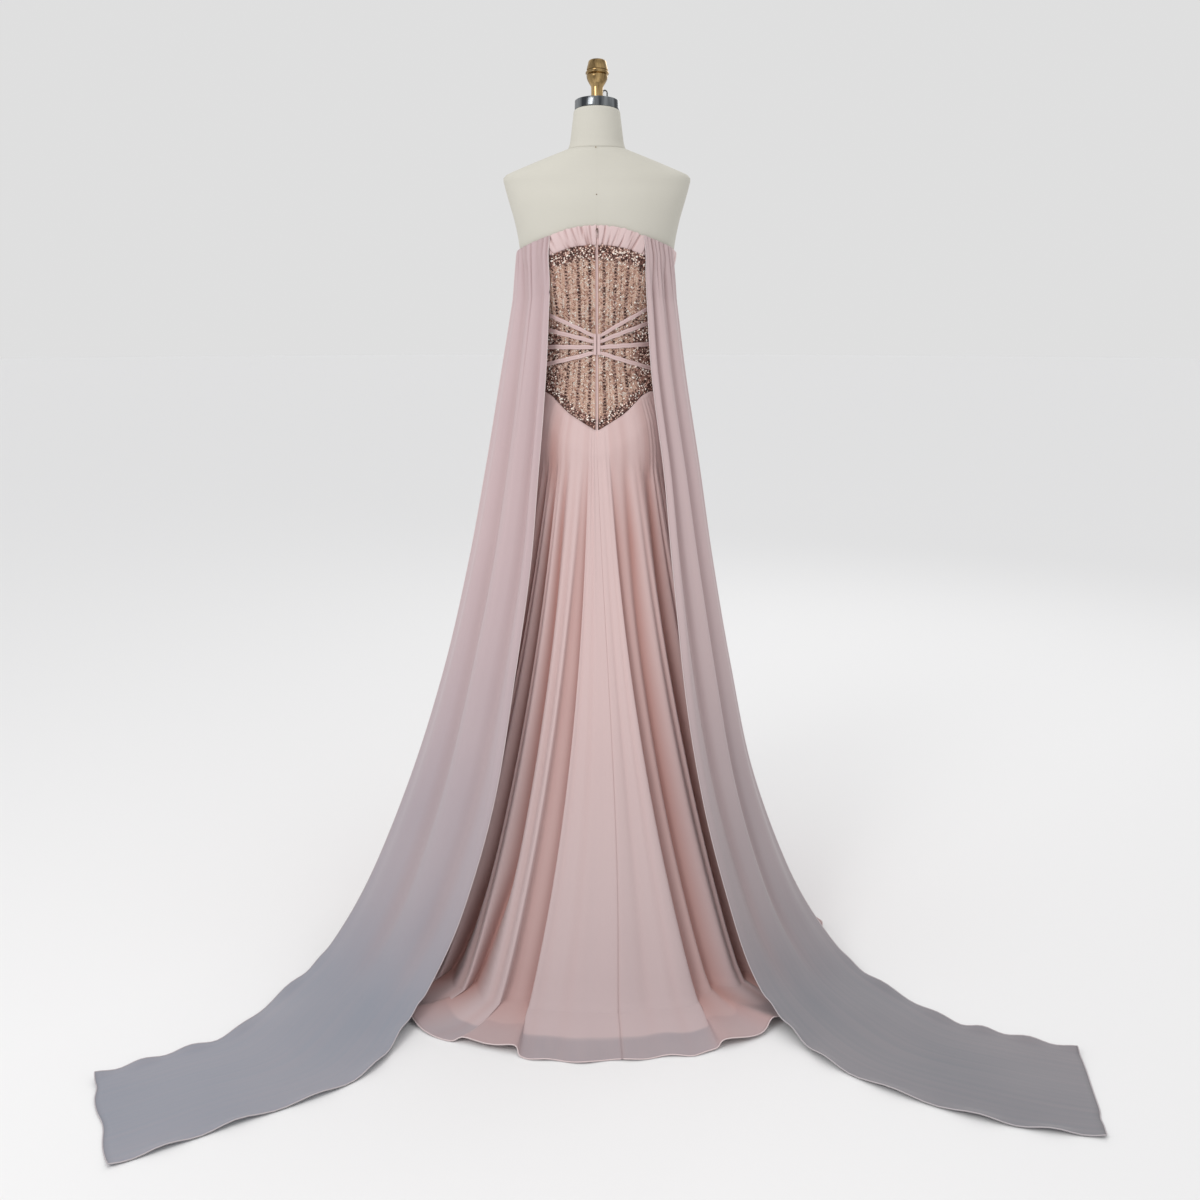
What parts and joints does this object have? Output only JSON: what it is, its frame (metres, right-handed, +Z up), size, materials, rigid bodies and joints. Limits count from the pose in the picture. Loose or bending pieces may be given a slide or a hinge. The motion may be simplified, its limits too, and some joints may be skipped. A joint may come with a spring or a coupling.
{
  "type": "a-line evening gown on a dress form",
  "caption": "Strapless a-line evening gown with a beaded basque bodice, waist straps, a flared chiffon skirt and floor-length streamers, worn by a limbless dress form on a stand.",
  "frame": {"origin": "on the floor, on the axis of the stand's pole, at the middle of the base's underside", "axes": "+Z up the pole. -Y is the way the wearer faces and +X is the wearer's left. The side pictured, the gown's back with the zip, faces +Y, and the streamers sweep out towards +Y."},
  "size_m": [1.65, 1.3507, 1.7137],
  "materials": {
    "canvas": "matt cream canvas, stretched smooth",
    "brass": "aged satin brass",
    "chrome": "polished",
    "stand": "satin black paint",
    "beading": "peach cloth covered in sequins and beads",
    "chiffon": "dusty pink chiffon, matt",
    "streamer": "cool pink sheer chiffon, matt",
    "lining": "dusty pink satin lining",
    "zip": "pink woven zip tape",
    "zip_metal": "dark plated metal"
  },
  "bodies": {
    "gown_and_form": {"band_back_left": "chiffon", "band_back_right": "chiffon", "band_front": "chiffon", "bodice_back_left": "beading", "bodice_back_right": "beading", "bodice_front": "beading", "cap_loop": "chrome", "finial": "brass", "form_neck": "canvas", "form_torso": "canvas", "neck_cap": "chrome", "skirt_back_left": "chiffon", "skirt_back_right": "chiffon", "skirt_front": "chiffon", "skirt_lining": "lining", "stand_base": "stand", "stand_pole": "stand", "strap_join_left": "chiffon", "strap_join_right": "chiffon", "strap_left_1": "chiffon", "strap_left_2": "chiffon", "strap_left_3": "chiffon", "strap_left_4": "chiffon", "strap_right_1": "chiffon", "strap_right_2": "chiffon", "strap_right_3": "chiffon", "strap_right_4": "chiffon", "streamer_left": "streamer", "streamer_right": "streamer", "zip_slider": "zip_metal", "zip_strip": "zip"},
    "zip_pull_tab": {"zip_pull": "zip_metal"}
  },
  "joints": [
    {"name": "zip_pull_hinge", "type": "hinge", "parent": "gown_and_form", "child": "zip_pull_tab", "pos_m": [0, 0.107, 1.388], "axis": [1, 0, 0], "range_deg": [0, 170]}
  ]
}
